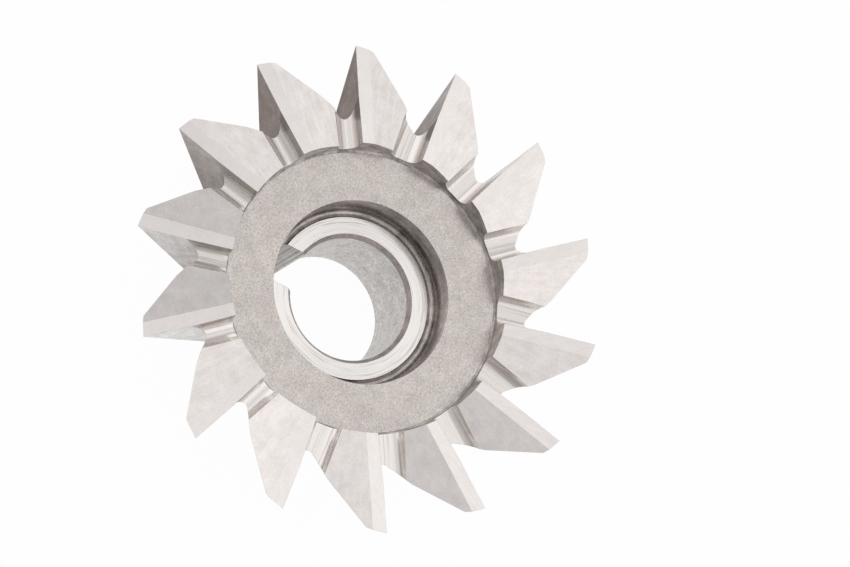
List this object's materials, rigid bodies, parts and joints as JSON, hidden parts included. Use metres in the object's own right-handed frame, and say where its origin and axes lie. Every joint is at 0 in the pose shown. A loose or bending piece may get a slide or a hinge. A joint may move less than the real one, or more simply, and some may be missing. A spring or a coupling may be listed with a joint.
{
  "type": "angle milling cutter",
  "caption": "Single-angle milling cutter with a keyed arbor bore, a recessed seat ring, and straight teeth across its flat face and down its cone.",
  "frame": {"origin": "on the cutter's axis in the plane of the back hub face, on which it lies", "axes": "+Z along the axis towards the flat toothed face, +Y through the middle of the keyway"},
  "size_m": [0.063, 0.0614, 0.019],
  "materials": {
    "tool_steel": "ground high-speed steel with fine grinding lines on the teeth and a satin hub"
  },
  "bodies": {
    "root": {"angle_cutter": "tool_steel"}
  },
  "joints": []
}
